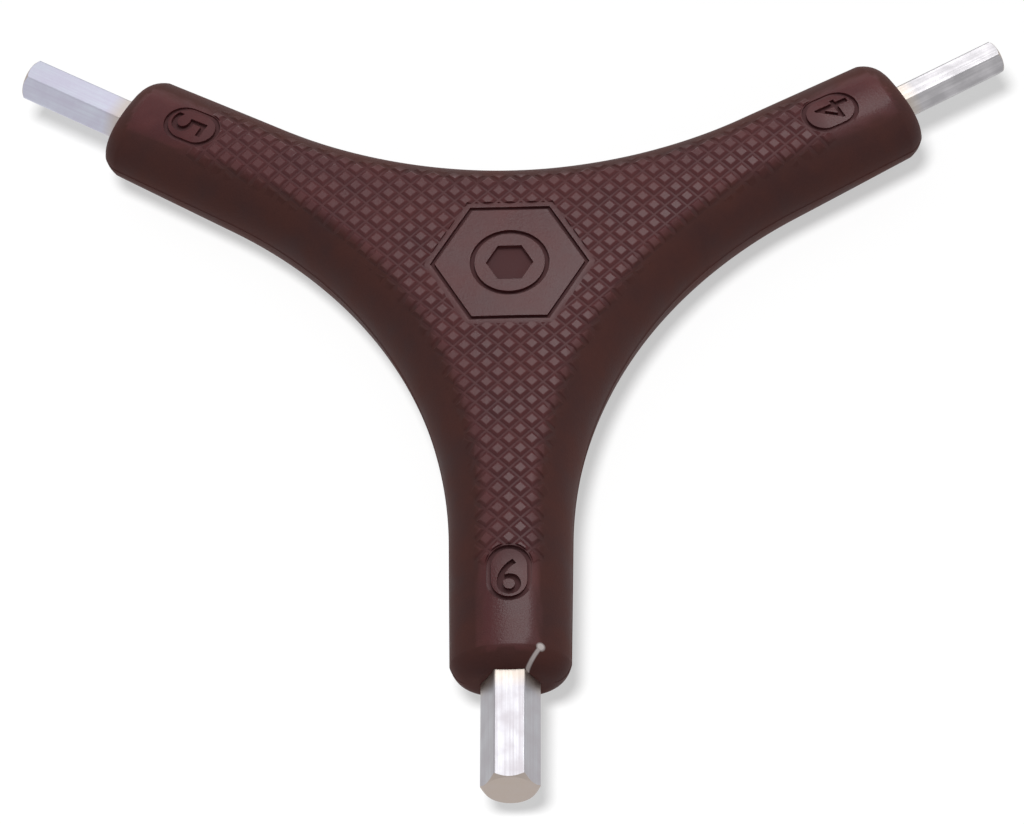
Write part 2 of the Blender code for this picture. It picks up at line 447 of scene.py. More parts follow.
def digit_shape(bm, digit):
    """The digit as a closed shell that reaches down through the skin."""
    flat_digit(bm, digit)
    tall = centre_digit(bm)
    grown = bmesh.ops.extrude_face_region(bm, geom=bm.faces[:])["geom"]
    lower = [item for item in grown if isinstance(item, bmesh.types.BMVert)]
    bmesh.ops.translate(bm, verts=lower, vec=(0.0, 0.0, -CUT_OVER - DIGIT_DEPTH))
    bmesh.ops.recalc_face_normals(bm, faces=bm.faces)
    for vert in bm.verts:
        vert.co.xy += vert.normal.xy * DIGIT_BOLDER[digit]
    opened = sum(not edge.is_manifold for edge in bm.edges)
    print("digit", digit, "is", round(tall * 1000, 2), "mm tall, open edges:", opened)


print("digits to cut:", list(DIGIT_BOLDER))

# %% [markdown]
# ## The marks in their places
#
# A mark on an arm reads with its head towards the hub and lies flat on the sloping skin. The rings, the field's two
# grooves and the pocket are gathered in one cutter, because one Boolean is quicker and cleaner than six. The shells of
# one cutter must not touch each other, and the digits come so close to their rings that they are a second cutter.

# %% Cutters of the marks
RING_ALONG = {"6": 0.0429, "4": 0.0446, "5": 0.0447}
RING_HALF_LENGTH = 0.0037
RING_HALF_WIDTH = 0.0027
DIGIT_LOWER = 0.0005
ROUND_SIDES = 64
FIELD_ACROSS = 0.0165
SIGN_RADIUS = 0.0048
POCKET_ACROSS = 0.005
POCKET_DEPTH = 0.0005
SLOPE_STEP = 0.002


def on_arm(along, direction):
    """Turns a mark to read with its head towards the hub, and lays it on the sloping skin."""
    turn = Matrix.Rotation(direction + math.pi / 2, 4, "Z")
    spot = turn @ Vector((0.0, -along, 0.0))
    nearer = turn @ Vector((0.0, SLOPE_STEP - along, 0.0))
    height = skin_at(spot.x, spot.y)[0]
    slope = math.atan((skin_at(nearer.x, nearer.y)[0] - height) / SLOPE_STEP)
    return turn @ Matrix.Translation((0.0, -along, height)) @ Matrix.Rotation(slope, 4, "X")


def add_placed(whole, part, matrix):
    """Moves a part of the cutter into place and adds it to the whole cutter."""
    bmesh.ops.transform(part, matrix=matrix, verts=part.verts)
    bmesh.ops.recalc_face_normals(part, faces=part.faces)
    mesh = bpy.data.meshes.new("part")
    part.to_mesh(mesh)
    part.free()
    whole.from_mesh(mesh)
    bpy.data.meshes.remove(mesh)


def mark_cutters():
    """The rings and the hub's field in one cutter."""
    whole = bmesh.new()
    for digit, _, _, direction in ARMS:
        part = bmesh.new()
        hoop(part, ROUND_SIDES, RING_HALF_WIDTH, RING_HALF_LENGTH)
        add_placed(whole, part, on_arm(RING_ALONG[digit], direction))
    level = Matrix.Translation((0.0, 0.0, skin_at(0.0, 0.0)[0]))
    part = bmesh.new()
    reach = hexagon_reach(FIELD_ACROSS)
    hoop(part, 6, reach, reach, HEXAGON_TURN)
    add_placed(whole, part, level)
    part = bmesh.new()
    hoop(part, ROUND_SIDES, SIGN_RADIUS, SIGN_RADIUS)
    add_placed(whole, part, level)
    part = bmesh.new()
    hexagon_plug(part, POCKET_ACROSS, POCKET_DEPTH)
    add_placed(whole, part, level)
    return whole


def digit_cutters():
    whole = bmesh.new()
    for digit, _, _, direction in ARMS:
        part = bmesh.new()
        digit_shape(part, digit)
        add_placed(whole, part, on_arm(RING_ALONG[digit] + DIGIT_LOWER, direction))
    return whole


cutters = mark_cutters()
print("mark cutter faces:", len(cutters.faces))

# %% [markdown]
# ## The moulded body
#
# The bars are moulded in, so the plastic closes tightly round them. Each end is cut by a hexagon that is only a hair
# larger than its bar. These three sockets join the marks in the first cutter.

# %% Body with its sockets and marks
MOULD_GAP = 0.00003
BODY_SMOOTH = 28


def prism(bm, sides, radius, depth):
    """Adds an upright prism about the origin, closed at both ends, and gives back its points."""
    return bmesh.ops.create_cone(
        bm, cap_ends=True, segments=sides, radius1=radius, radius2=radius, depth=depth
    )["verts"]


def lay_along_arm(embed, direction):
    """Matrix that lays a bar, made along +Z with its tail at zero, in its arm with a flat of the hexagon up."""
    return (
        Matrix.Translation(HUB)
        @ Matrix.Rotation(direction, 4, "Z")
        @ Matrix.Translation((ARM_REACH - embed, 0.0, 0.0))
        @ Matrix.Rotation(math.pi / 2, 4, "Y")
    )


def add_sockets(whole):
    for _, across, embed, direction in ARMS:
        part = bmesh.new()
        verts = prism(part, 6, hexagon_reach(across + 2 * MOULD_GAP), embed * 2)
        bmesh.ops.translate(part, verts=verts, vec=(0.0, 0.0, embed))
        add_placed(whole, part, lay_along_arm(embed, direction))


add_sockets(cutters)
body = finish_piece(skin_mesh, "handle_body")
cut(body, finish_piece(cutters, "marks"))
cut(body, finish_piece(digit_cutters(), "digits"))
smooth_up_to(body, BODY_SMOOTH)
print("handle body triangles:", triangles(body))

# %% [markdown]
# ## The checkering, still flat
#
# The grip is one square lattice of small pyramids, turned 45 degrees, that runs over the hub and all three arms. A
# displaced dense mesh would blur the ridges, so the pyramids are real: a grid of diamonds, each inset three times, for
# the groove round it, for its slopes, and for its small worn top. Only the diamonds that stand on the band are kept.

# %% Flat lattice of pyramids
CHECKER_PITCH = 0.00187
CHECKER_GROOVE = 0.00004
CHECKER_SLOPE = 0.00056
CHECKER_SLOPE_RISE = 0.9
CHECKER_TOP_EDGE = 0.0001
CHECKER_BACKING = 0.0004
FADE_FACING = (0.80, 0.93)
FADE_BEFORE_RING = (0.0026, 0.0006)
ARM_LINES = [(math.cos(direction), math.sin(direction), RING_ALONG[digit]) for digit, _, _, direction in ARMS]


def checker_share(x, y):
    """How much of a pyramid stands at a place: 1 in the middle of the band, 0 where the pattern has run out."""
    before_ring = min(ring - run * x - rise * y for run, rise, ring in ARM_LINES)
    if before_ring < FADE_BEFORE_RING[1]:
        return 0.0
    return ease(skin_at(x, y)[1], *FADE_FACING) * ease(before_ring, FADE_BEFORE_RING[1], FADE_BEFORE_RING[0])


def diamond_grid(bm):
    """A turned grid with only the diamonds that stand on the band."""
    cells = 2 * math.ceil(ARM_REACH / CHECKER_PITCH)
    bmesh.ops.create_grid(bm, x_segments=cells, y_segments=cells, size=cells * CHECKER_PITCH / 2)
    bmesh.ops.rotate(bm, verts=bm.verts, matrix=Matrix.Rotation(math.pi / 4, 3, "Z"))
    spare = []
    for face in bm.faces:
        places = [vert.co for vert in face.verts] + [face.calc_center_median()]
        if any(ray_down(place.x, place.y)[0] is None for place in places):
            spare.append(face)
        elif not any(checker_share(place.x, place.y) > 0.0 for place in places):
            spare.append(face)
    bmesh.ops.delete(bm, geom=spare, context="FACES")


def thicken(bm):
    """Makes the sheet a slab, with the same diamonds below so that it bends too, and gives back the upper ones."""
    grown = bmesh.ops.extrude_face_region(bm, geom=bm.faces[:])["geom"]
    lower = [item for item in grown if isinstance(item, bmesh.types.BMVert)]
    bmesh.ops.translate(bm, verts=lower, vec=(0.0, 0.0, -CHECKER_BACKING))
    bmesh.ops.recalc_face_normals(bm, faces=bm.faces)
    bm.normal_update()
    return [face for face in bm.faces if face.normal.z > 0.5]


def raise_pyramids(bm, diamonds):
    rise = CHECKER_HEIGHT * CHECKER_SLOPE_RISE
    bmesh.ops.inset_individual(bm, faces=diamonds, thickness=CHECKER_GROOVE)
    bmesh.ops.inset_individual(bm, faces=diamonds, thickness=CHECKER_SLOPE, depth=rise)
    bmesh.ops.inset_individual(bm, faces=diamonds, thickness=CHECKER_TOP_EDGE, depth=CHECKER_HEIGHT - rise)


lattice = bmesh.new()
diamond_grid(lattice)
print("diamonds:", len(lattice.faces))
raise_pyramids(lattice, thicken(lattice))

# %% [markdown]
# ## The checkering, laid on the skin
#
# While the lattice is flat, the field and the rings are cut from it. Then it is laid over the skin, and the pyramids
# sink away where the skin turns down at the shoulder and where an arm nears its ring. Wear follows the shape, so each
# point of the mesh also stores how worn, how dirty and how polished it is, and the plastic's material reads that. The
# polish mask also paints level tops paler, as painted top light.

# %% Checkering laid over the skin
FIELD_MARGIN = 0.0006
CLEARING_DEPTH = 0.01
CHECKER_SMOOTH = 12
# Facing range of the polish mask, which also paints level tops paler as painted top light.
POLISH_AND_TOP_LIGHT_FACING = (0.88, 0.985)


def lattice_cutters():
    """Prisms that clear the lattice from the hub's field and from the rings."""
    whole = bmesh.new()
    part = bmesh.new()
    verts = prism(part, 6, hexagon_reach(FIELD_ACROSS + 2 * FIELD_MARGIN), CLEARING_DEPTH)
    bmesh.ops.rotate(part, verts=verts, matrix=Matrix.Rotation(HEXAGON_TURN, 3, "Z"))
    add_placed(whole, part, Matrix.Identity(4))
    for digit, _, _, direction in ARMS:
        part = bmesh.new()
        verts = prism(part, ROUND_SIDES, RING_HALF_WIDTH + GROOVE_DRAFT, CLEARING_DEPTH)
        pull_to_oval(part, verts, RING_HALF_LENGTH - RING_HALF_WIDTH)
        turn = Matrix.Rotation(direction + math.pi / 2, 4, "Z")
        add_placed(whole, part, turn @ Matrix.Translation((0.0, -RING_ALONG[digit], 0.0)))
    return whole


def room_for(piece, names):
    """Makes room for one number under each name at each point of the mesh, and gives back the rooms."""
    for name in names:
        piece.data.attributes.new(name, "FLOAT", "POINT")
    return [piece.data.attributes[name].data for name in names]


def lay_on_skin(piece):
    """Bends the flat lattice to the skin, and stores its worn tops, dirty grooves and polished band, whose mask also
    paints level tops paler as painted top light.
    """
    worn, dirt, polish_and_top_light = room_for(piece, ("worn", "dirt", "polish_and_top_light"))
    for index, vert in enumerate(piece.data.vertices):
        x, y, up = vert.co
        share = checker_share(x, y)
        # Polish, and painted top light: level places get the paler band colour.
        polish_and_top_light[index].value = ease(skin_at(x, y)[1], *POLISH_AND_TOP_LIGHT_FACING)
        if up > 0.0:
            worn[index].value = share * up / CHECKER_HEIGHT
            up *= share
        else:
            dirt[index].value = share
        vert.co.z = skin_at(x, y)[0] - CHECKER_SINK + up


upper_grip = finish_piece(lattice, "checkering_upper")
cut(upper_grip, finish_piece(lattice_cutters(), "clearing"))
lay_on_skin(upper_grip)
smooth_up_to(upper_grip, CHECKER_SMOOTH)
print(upper_grip.name, "triangles:", triangles(upper_grip))

# %% [markdown]
# ## The lower side
#
# The other half of the mould is alike, without numbers. Its checkering is the same piece, mirrored in the middle
# plane. A mirrored mesh is inside out, so its faces are turned again.

# %% Checkering of the lower side
def mirrored_below(piece, name):
    bm = bmesh.new()
    bm.from_mesh(piece.data)
    bmesh.ops.translate(bm, verts=bm.verts, vec=-HUB)
    bmesh.ops.scale(bm, verts=bm.verts, vec=(1.0, 1.0, -1.0))
    bmesh.ops.translate(bm, verts=bm.verts, vec=HUB)
    below = finish_piece(bm, name)
    smooth_up_to(below, CHECKER_SMOOTH)
    return below


lower_grip = mirrored_below(upper_grip, "checkering_lower")
print(lower_grip.name, "triangles:", triangles(lower_grip))

# %% [markdown]
# ## Wear on the body
#
# Hands polish the skin where it faces straight up or down, and the same mask paints it paler as painted top light.
# Dirt settles at the bottoms of the marks and between the pyramids. Both are stored on the points of the body too.
# How far a point lies below the uncut skin tells a mark from a socket, which stays clean, and the field in the middle
# is wiped clean.

# %% Polish, painted top light and dirt of the body
SKIN_DIRT = 0.55
MARK_FROM = GROOVE_DEPTH * 0.5
SOCKET_FROM = DIGIT_DEPTH * 1.5
FIELD_FLATS = [math.radians(30 + 60 * side) for side in range(6)]


def off_field(x, y):
    """How far a place lies outside the hub's six-sided field."""
    return max(x * math.cos(flat) + y * math.sin(flat) for flat in FIELD_FLATS) - FIELD_ACROSS / 2


def dirt_at(place, below):
    """1 at the bottom of a mark, less on the skin that the checkering stands on, 0 elsewhere."""
    if below > MARK_FROM:
        return float(below < SOCKET_FROM)
    return SKIN_DIRT * checker_share(place.x, place.y) * ease(off_field(place.x, place.y), 0.0, FIELD_MARGIN)


def store_wear(piece):
    dirt, polish_and_top_light = room_for(piece, ("dirt", "polish_and_top_light"))
    for index, vert in enumerate(piece.data.vertices):
        _, normal, _, below = skin.find_nearest(vert.co)
        # Polish, and painted top light: level places get the paler band colour.
        polish_and_top_light[index].value = ease(abs(normal.z), *POLISH_AND_TOP_LIGHT_FACING)
        if polish_and_top_light[index].value > 0.0 or below > MARK_FROM:
            dirt[index].value = dirt_at(vert.co, below)
    print("dirty points:", sum(point.value > 0.5 for point in dirt), "of", len(dirt))


store_wear(body)

# %% [markdown]
# ## The bars
#
# Hexagon bar is drawn through a die, which leaves its long edges slightly round, and its tips are turned to a
# chamfer. So each bar starts as a six-sided prism, its long edges are bevelled, and it is cut to a turned blank.
# Shading would roll over the flats, so a weighted normal modifier keeps them flat.

# %% Bars
EDGE_ROUND = 0.00014
EDGE_STEPS = 4
TIP_CHAMFER_SHARE = 0.16
TAIL_CHAMFER_SHARE = 0.22
BLANK_STEPS = 96
BAR_SMOOTH = 24
FLAT_WEIGHT = 80


def hexagon_rod(across, length):
    bm = bmesh.new()
    verts = prism(bm, 6, hexagon_reach(across), length + 2 * CUT_OVER)
    bmesh.ops.translate(bm, verts=verts, vec=(0.0, 0.0, length / 2))
    long_edges = [edge for edge in bm.edges if abs(edge.verts[0].co.z - edge.verts[1].co.z) > across]
    bmesh.ops.bevel(
        bm, geom=long_edges, offset=EDGE_ROUND, segments=EDGE_STEPS, profile=0.5, affect="EDGES", material=-1
    )
    return bm


def turned_blank(across, length):
    """A spun profile with a 45 degree chamfer at each end."""
    corner = hexagon_reach(across)
    wide = corner + CUT_OVER
    tail = corner * (1.0 - TAIL_CHAMFER_SHARE)
    tip = corner * (1.0 - TIP_CHAMFER_SHARE)
    profile = (
        (0.0, 0.0), (tail, 0.0), (wide, wide - tail),
        (wide, length - (wide - tip)), (tip, length), (0.0, length),
    )
    bm = bmesh.new()
    verts = [bm.verts.new((radius, 0.0, height)) for radius, height in profile]
    for start, end in zip(verts, verts[1:]):
        bm.edges.new((start, end))
    bmesh.ops.spin(
        bm, geom=bm.verts[:] + bm.edges[:], axis=UP, cent=(0, 0, 0),
        angle=2 * math.pi, steps=BLANK_STEPS, use_merge=True,
    )
    bmesh.ops.remove_doubles(bm, verts=bm.verts, dist=MERGE)
    return bm


def make_bar(digit, across, embed, direction):
    name = "bar_" + digit + "_mm"
    length = embed + BAR_STICK_OUT
    bar = finish_piece(hexagon_rod(across, length), name)
    cut(bar, finish_piece(turned_blank(across, length), "blank"), "INTERSECT")
    bar.data.transform(lay_along_arm(embed, direction))
    smooth_up_to(bar, BAR_SMOOTH)
    weighted = bar.modifiers.new("flats_stay_flat", "WEIGHTED_NORMAL")
    weighted.keep_sharp = True
    weighted.weight = FLAT_WEIGHT
    print(name, "triangles:", triangles(bar))
    return bar


bars = [make_bar(*arm) for arm in ARMS]

# %% [markdown]
# ## Finishes
#
# Every finish is made from nodes on Object coordinates or on what was stored on the mesh, so it needs no pictures and
# stays put from every side. `node` adds a node, fills its sockets and links what is given as a link. The others are
# the few nodes that come back again and again, each with a name that says what it does.

# %% Node helpers
FULL_RANGE = (0.0, 1.0)


def node(tree, kind, ins=None, **settings):
    """Adds a node, sets its properties, and fills its inputs with values or links."""
    made = tree.nodes.new(kind)
    for key, value in settings.items():
        setattr(made, key, value)
    for key, value in (ins or {}).items():
        if isinstance(value, bpy.types.NodeSocket):
            tree.links.new(value, made.inputs[key])
        else:
            made.inputs[key].default_value = value
    return made


def calculate(tree, operation, first, second):
    values = node(tree, "ShaderNodeMath", {0: first, 1: second}, operation=operation)
    return values.outputs["Value"]


def stretch(tree, vector, factors):
    """Multiplies each axis of a vector by its own factor."""
    longer = node(tree, "ShaderNodeVectorMath", {0: vector, 1: factors}, operation="MULTIPLY")
    return longer.outputs["Vector"]


def length_of(tree, vector):
    measured = node(tree, "ShaderNodeVectorMath", {0: vector}, operation="LENGTH")
    return measured.outputs["Value"]


def remap(tree, value, source, target):
    """Carries a value over from one range to another, and holds it there."""
    carried = node(tree, "ShaderNodeMapRange", {
        "Value": value, "From Min": source[0], "From Max": source[1], "To Min": target[0], "To Max": target[1],
    })
    return carried.outputs["Result"]


def mix_colours(tree, share, first, second):
    """The first colour where the share is 0, the second where it is 1."""
    mixed = node(tree, "ShaderNodeMixRGB", {"Fac": share, "Color1": first, "Color2": second})
    return mixed.outputs["Color"]


def add_bump(tree, shader, height, strength, distance):
    """Tilts the light on the surface as if it rose and fell with the height."""
    bump = node(tree, "ShaderNodeBump", {"Height": height, "Strength": strength, "Distance": distance})
    tree.links.new(bump.outputs["Normal"], shader.inputs["Normal"])


def new_material(name):
    material = bpy.data.materials.new(name)
    material.use_nodes = True
    tree = material.node_tree
    tree.nodes.clear()
    shader = node(tree, "ShaderNodeBsdfPrincipled")
    node(tree, "ShaderNodeOutputMaterial", {"Surface": shader.outputs["BSDF"]})
    return material, tree, shader


print("node helpers ready")

# %% [markdown]
# ## Grain, a shared group
#
# Plastic and steel both need a fine, uneven speck: the plastic for the texture that the mould leaves, and the cut
# ends of the bars for their torn grain. One group gives it at any scale, as a height for bump and as a slow mottle
# for colour and roughness.

# %% Grain group
def new_group(name, ins, outs):
    """A shader node group with named sockets: (name, socket type, starting value)."""
    group = bpy.data.node_groups.new(name, "ShaderNodeTree")
    for label, kind, value in ins:
        socket = group.interface.new_socket(label, in_out="INPUT", socket_type=kind)
        if value is not None:
            socket.default_value = value
    for label, kind in outs:
        group.interface.new_socket(label, in_out="OUTPUT", socket_type=kind)
    return group, node(group, "NodeGroupInput"), node(group, "NodeGroupOutput")


def make_grain_group():
    group, ins, outs = new_group(
        "fine_grain",
        (
            ("Vector", "NodeSocketVector", None),
            ("Grain Scale", "NodeSocketFloat", 5000.0),
            ("Mottle Scale", "NodeSocketFloat", 180.0),
        ),
        (("Height", "NodeSocketFloat"), ("Mottle", "NodeSocketFloat")),
    )
    grain = node(group, "ShaderNodeTexNoise", {
        "Vector": ins.outputs["Vector"], "Scale": ins.outputs["Grain Scale"], "Detail": 3.0, "Roughness": 0.6,
    })
    mottle = node(group, "ShaderNodeTexNoise", {
        "Vector": ins.outputs["Vector"], "Scale": ins.outputs["Mottle Scale"], "Detail": 4.0, "Roughness": 0.55,
    })
    group.links.new(grain.outputs["Fac"], outs.inputs["Height"])
    group.links.new(mottle.outputs["Fac"], outs.inputs["Mottle"])
    return group


def place_grain(tree, place, grain_scale, mottle_scale):
    """Puts the group in a material, with the material's own scales, and gives back its height and its mottle."""
    placed = node(tree, "ShaderNodeGroup", {
        "Vector": place, "Grain Scale": grain_scale, "Mottle Scale": mottle_scale,
    }, node_tree=grain_group)
    return placed.outputs["Height"], placed.outputs["Mottle"]


grain_group = make_grain_group()
print("group:", grain_group.name)

# %% [markdown]
# ## A painted glint on the plastic
#
# The end of the 6 mm arm has a painted glint: a pale line that ends in a dot. It could be modelled, but it has no
# depth
# to speak of, so it is a mask: a distance measured from a line, and another from the line's end. A Mapping node first
# turns the coordinates, so that the line runs along X from zero.

# %% Painted glint
# A painted glint: a pale line and dot on the end of the 6 mm arm.
GLINT_START = Vector((0.00205, -0.0543, 0.0))
GLINT_END = Vector((0.00358, -0.05215, 0.0))
GLINT_HALF_WIDTH = 0.0002
GLINT_FAINT = 0.75
GLINT_DOT_RADIUS = 0.00042


def near_mask(tree, x, y, radius):
    """1 near a middle and 0 away from it, with an edge that softens over a third of the radius on either side."""
    beside = node(tree, "ShaderNodeCombineXYZ", {"X": x, "Y": y})
    return remap(tree, length_of(tree, beside.outputs["Vector"]), (radius * 4 / 3, radius * 2 / 3), FULL_RANGE)


def painted_glint_mask(tree, place):
    """The painted glint: the line and its dot, seen from above and only on the upper side."""
    run = GLINT_END - GLINT_START
    turned = node(tree, "ShaderNodeMapping", {
        "Vector": place, "Location": GLINT_START, "Rotation": (0.0, 0.0, math.atan2(run.y, run.x)),
    }, vector_type="TEXTURE")
    axes = node(tree, "ShaderNodeSeparateXYZ", {"Vector": turned.outputs["Vector"]}).outputs
    held = node(tree, "ShaderNodeClamp", {"Value": axes["X"], "Min": 0.0, "Max": run.length}).outputs["Result"]
    line = near_mask(tree, calculate(tree, "SUBTRACT", axes["X"], held), axes["Y"], GLINT_HALF_WIDTH)
    dot = near_mask(tree, calculate(tree, "SUBTRACT", axes["X"], run.length), axes["Y"], GLINT_DOT_RADIUS)
    both = calculate(tree, "MAXIMUM", calculate(tree, "MULTIPLY", line, GLINT_FAINT), dot)
    return calculate(tree, "MULTIPLY", both, calculate(tree, "GREATER_THAN", axes["Z"], HUB_HALF_HEIGHT))


print("painted_glint:", round((GLINT_END - GLINT_START).length * 1000, 2), "mm long")

# %% [markdown]
# ## Brown plastic
#
# The handle is a glass-filled nylon or similar, dark purple brown. Its walls are matt and blotched, as the melt flowed
# into the mould, and painted darker as shade. Hands polish the band to a satin, and the band is painted paler and
# redder as a top that the light falls on. The tops of the pyramids are rubbed, which leaves them paler and a little
# rougher than the band, and a greyish dirt makes the grooves matt and less red. Each of these is a layer, mixed over
# the one before by a mask that the mesh stores, and a painted glint comes last.

# %% Plastic
# Painted shade and painted top light: walls take a darker colour and the level band a paler, redder one.
SHADED_WALL_DEEP = (0.060, 0.017, 0.015, 1.0)
SHADED_WALL_PALE = (0.096, 0.030, 0.024, 1.0)
LIT_BAND_DEEP = (0.111, 0.0205, 0.0245, 1.0)
LIT_BAND_PALE = (0.147, 0.033, 0.0345, 1.0)
RUBBED_COLOUR = (0.212, 0.094, 0.098, 1.0)
RUBBED_FROM = 0.8
RUBBED_COVER = 0.3
RUBBED_ROUGHER = 0.08
DIRT_COLOUR = (0.080, 0.055, 0.057, 1.0)
DIRT_COVER = 0.42
# Colour of the painted glint.
PAINTED_GLINT_COLOUR = (0.98, 0.88, 0.86, 1.0)
PLASTIC_SPECULAR = 0.30
MATT_ROUGHNESS = 0.72
POLISHED_ROUGHNESS = 0.24
ROUGHNESS_DRIFT = 0.06
PLASTIC_GRAIN_SCALE = 4200.0
PLASTIC_MOTTLE_SCALE = 220.0
PLASTIC_BLOTCH = (0.32, 0.68)
PLASTIC_BUMP = (0.35, 0.00006)


def stored(tree, name):
    """Reads the number that the mesh stores at each point under a name."""
    return node(tree, "ShaderNodeAttribute", attribute_name=name).outputs["Fac"]


def plastic_colour(tree, place, blotch):
    shaded_wall = mix_colours(tree, blotch, SHADED_WALL_DEEP, SHADED_WALL_PALE)
    band = mix_colours(tree, blotch, LIT_BAND_DEEP, LIT_BAND_PALE)
    # Painted top light: the polish mask swaps the shaded wall colour for the lit band colour.
    clean = mix_colours(tree, stored(tree, "polish_and_top_light"), shaded_wall, band)
    rubbed = remap(tree, stored(tree, "worn"), (RUBBED_FROM, 1.0), (0.0, RUBBED_COVER))
    used = mix_colours(tree, rubbed, clean, RUBBED_COLOUR)
    settled = calculate(tree, "MULTIPLY", stored(tree, "dirt"), DIRT_COVER)
    soiled = mix_colours(tree, settled, used, DIRT_COLOUR)
    # The painted glint goes over everything.
    return mix_colours(tree, painted_glint_mask(tree, place), soiled, PAINTED_GLINT_COLOUR)


def plastic_roughness(tree, blotch):
    clean = calculate(tree, "SUBTRACT", stored(tree, "polish_and_top_light"), stored(tree, "dirt"))
    satin = remap(tree, clean, FULL_RANGE, (MATT_ROUGHNESS, POLISHED_ROUGHNESS))
    drift = remap(tree, blotch, FULL_RANGE, (-ROUGHNESS_DRIFT, ROUGHNESS_DRIFT))
    rubbed = calculate(tree, "MULTIPLY", stored(tree, "worn"), RUBBED_ROUGHER)
    return calculate(tree, "ADD", calculate(tree, "ADD", satin, drift), rubbed)


def make_plastic():
    material, tree, shader = new_material("brown_moulding")
    place = node(tree, "ShaderNodeTexCoord").outputs["Object"]
    height, mottle = place_grain(tree, place, PLASTIC_GRAIN_SCALE, PLASTIC_MOTTLE_SCALE)
    blotch = remap(tree, mottle, PLASTIC_BLOTCH, FULL_RANGE)
    tree.links.new(plastic_colour(tree, place, blotch), shader.inputs["Base Color"])
    tree.links.new(plastic_roughness(tree, blotch), shader.inputs["Roughness"])
    add_bump(tree, shader, height, *PLASTIC_BUMP)
    shader.inputs["Specular IOR Level"].default_value = PLASTIC_SPECULAR
    return material


plastic = make_plastic()
for piece in (body, upper_grip, lower_grip):
    piece.data.materials.clear()
    piece.data.materials.append(plastic)
print("plastic on", body.name, upper_grip.name, lower_grip.name)

# %% [markdown]
# ## Drawn steel
#
# The bars are bright drawn steel with a thin nickel coat. Each bar's steel has its own brightness and tint, a painted
# reflection of what that bar mirrors, bluish on the 5 mm bar. Drawing leaves fine streaks along the bar: a noise that
# is turned to the arm by a Mapping node and pressed together across it. The coat is stained where a bar leaves the
# plastic.

# %% Steel of the flats
# Painted reflection: each bar has its own brightness and tint, bluish on the 5 mm bar.
STEEL_BRIGHT_WITH_PAINTED_REFLECTION = {
    "6": (0.42, 0.42, 0.445, 1.0),
    "4": (0.53, 0.515, 0.535, 1.0),
    "5": (0.56, 0.58, 0.67, 1.0),
}
STEEL_DULL_WITH_PAINTED_REFLECTION = {
    "6": (0.40, 0.38, 0.405, 1.0),
    "4": (0.38, 0.37, 0.385, 1.0),
    "5": (0.51, 0.495, 0.60, 1.0),
}
STEEL_ROUGHNESS = (0.42, 0.32)
STEEL_GRAIN_SCALE = 2600.0
STEEL_MOTTLE_SCALE = 420.0
STEEL_BUMP = (0.3, 0.00003)
STREAK_SCALE = (60.0, 60.0, 60.0)
STREAK_PRESS = (1.0, 60.0, 60.0)
STREAK_RANGE = (0.15, 0.4)
STAIN_COLOUR = (0.50, 0.43, 0.36, 1.0)
STAIN_COVER = 0.7
STAIN_FROM_ROOT = (0.0005, 0.0022)


def drawn_streaks(tree, place, direction):
    """A noise with long streaks along the arm."""
    turned = node(tree, "ShaderNodeMapping", {
        "Vector": place, "Rotation": (0.0, 0.0, -direction), "Scale": STREAK_SCALE,
    })
    pressed = stretch(tree, turned.outputs["Vector"], STREAK_PRESS)
    return node(tree, "ShaderNodeTexNoise", {"Vector": pressed, "Scale": 1.0, "Detail": 4.0}).outputs["Fac"]


def root_stain(tree, place):
    """Strong where the bar leaves the plastic, and gone two millimetres further out."""
    from_hub = length_of(tree, stretch(tree, place, (1.0, 1.0, 0.0)))
    near, far = STAIN_FROM_ROOT
    return remap(tree, from_hub, (ARM_REACH + near, ARM_REACH + far), (STAIN_COVER, 0.0))


def make_drawn_steel(digit, direction):
    material, tree, shader = new_material("drawn_steel_" + digit)
    place = node(tree, "ShaderNodeTexCoord").outputs["Object"]
    streaks = drawn_streaks(tree, place, direction)
    _, mottle = place_grain(tree, place, STEEL_GRAIN_SCALE, STEEL_MOTTLE_SCALE)
    bright = remap(tree, calculate(tree, "MULTIPLY", streaks, mottle), STREAK_RANGE, FULL_RANGE)
    # Painted reflection: this bar's own tint and brightness, mixed by the streaks.
    coat_with_painted_reflection = mix_colours(tree, bright, STEEL_DULL_WITH_PAINTED_REFLECTION[digit], STEEL_BRIGHT_WITH_PAINTED_REFLECTION[digit])
    stained = mix_colours(tree, root_stain(tree, place), coat_with_painted_reflection, STAIN_COLOUR)
    tree.links.new(stained, shader.inputs["Base Color"])
    tree.links.new(remap(tree, bright, FULL_RANGE, STEEL_ROUGHNESS), shader.inputs["Roughness"])
    shader.inputs["Metallic"].default_value = 1.0
    add_bump(tree, shader, streaks, *STEEL_BUMP)
    return material


drawn_steel = {digit: make_drawn_steel(digit, direction) for digit, _, _, direction in ARMS}
print("drawn steel:", [material.name for material in drawn_steel.values()])

# %% [markdown]
# ## Turned ends
#
# The coat is gone where the tips were turned: bare steel, duller and warmer, with the grain of the cut. Each face of a
# bar gets this steel if it turns outwards along the arm, and the drawn steel if it doesn't.

# %% Steel of the turned ends
CUT_DEEP = (0.43, 0.36, 0.31, 1.0)
CUT_PALE = (0.50, 0.44, 0.41, 1.0)
CUT_ROUGHNESS = (0.4, 0.6)
CUT_GRAIN_SCALE = 5200.0
CUT_MOTTLE_SCALE = 900.0
CUT_BUMP = (0.4, 0.00004)
END_FACING = 0.3


